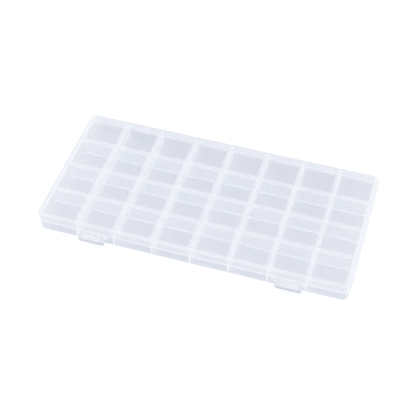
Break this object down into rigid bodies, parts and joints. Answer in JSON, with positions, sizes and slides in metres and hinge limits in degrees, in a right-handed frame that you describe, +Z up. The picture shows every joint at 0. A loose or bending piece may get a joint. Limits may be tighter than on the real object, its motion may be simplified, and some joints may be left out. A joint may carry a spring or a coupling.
{
  "type": "compartment storage box",
  "caption": "Flat translucent craft storage box with a grid of small compartments, loose row dividers, a hinged lid and two snap latches.",
  "frame": {"origin": "centre of the tray's flat underside", "axes": "+X along the long side, to the right seen from the latches; -Y is the front, with the latches; +Z up, out of the lid"},
  "size_m": [0.3096, 0.163, 0.0195],
  "materials": {
    "tray_plastic": "frosted translucent polypropylene, smooth outside, very fine satin grain",
    "lid_plastic": "frosted translucent polypropylene, a little clearer and glossier than the tray",
    "divider_plastic": "frosted translucent polypropylene, thin plate",
    "latch_plastic": "frosted translucent polypropylene, satin"
  },
  "bodies": {
    "base": {"base_tray": "tray_plastic", "row_divider_c1_r1": "divider_plastic", "row_divider_c1_r2": "divider_plastic", "row_divider_c1_r3": "divider_plastic", "row_divider_c2_r1": "divider_plastic", "row_divider_c2_r2": "divider_plastic", "row_divider_c2_r3": "divider_plastic", "row_divider_c3_r1": "divider_plastic", "row_divider_c3_r2": "divider_plastic", "row_divider_c3_r3": "divider_plastic", "row_divider_c4_r1": "divider_plastic", "row_divider_c4_r2": "divider_plastic", "row_divider_c4_r3": "divider_plastic", "row_divider_c5_r1": "divider_plastic", "row_divider_c5_r2": "divider_plastic", "row_divider_c5_r3": "divider_plastic", "row_divider_c6_r1": "divider_plastic", "row_divider_c6_r2": "divider_plastic", "row_divider_c6_r3": "divider_plastic", "row_divider_c7_r1": "divider_plastic", "row_divider_c7_r2": "divider_plastic", "row_divider_c7_r3": "divider_plastic", "row_divider_c8_r1": "divider_plastic", "row_divider_c8_r2": "divider_plastic", "row_divider_c8_r3": "divider_plastic"},
    "lid": {"lid": "lid_plastic"},
    "latch_left": {"latch_left": "latch_plastic"},
    "latch_right": {"latch_right": "latch_plastic"}
  },
  "joints": [
    {"name": "lid_hinge", "type": "hinge", "parent": "base", "child": "lid", "pos_m": [0, 0.0796, 0.00984], "axis": [-1, 0, 0], "range_deg": [0, 180]},
    {"name": "latch_left_hinge", "type": "hinge", "parent": "lid", "child": "latch_left", "pos_m": [-0.0977, -0.0776, 0.0094], "axis": [-1, 0, 0], "range_deg": [0, 100]},
    {"name": "latch_right_hinge", "type": "hinge", "parent": "lid", "child": "latch_right", "pos_m": [0.0977, -0.0776, 0.0094], "axis": [-1, 0, 0], "range_deg": [0, 100]}
  ]
}
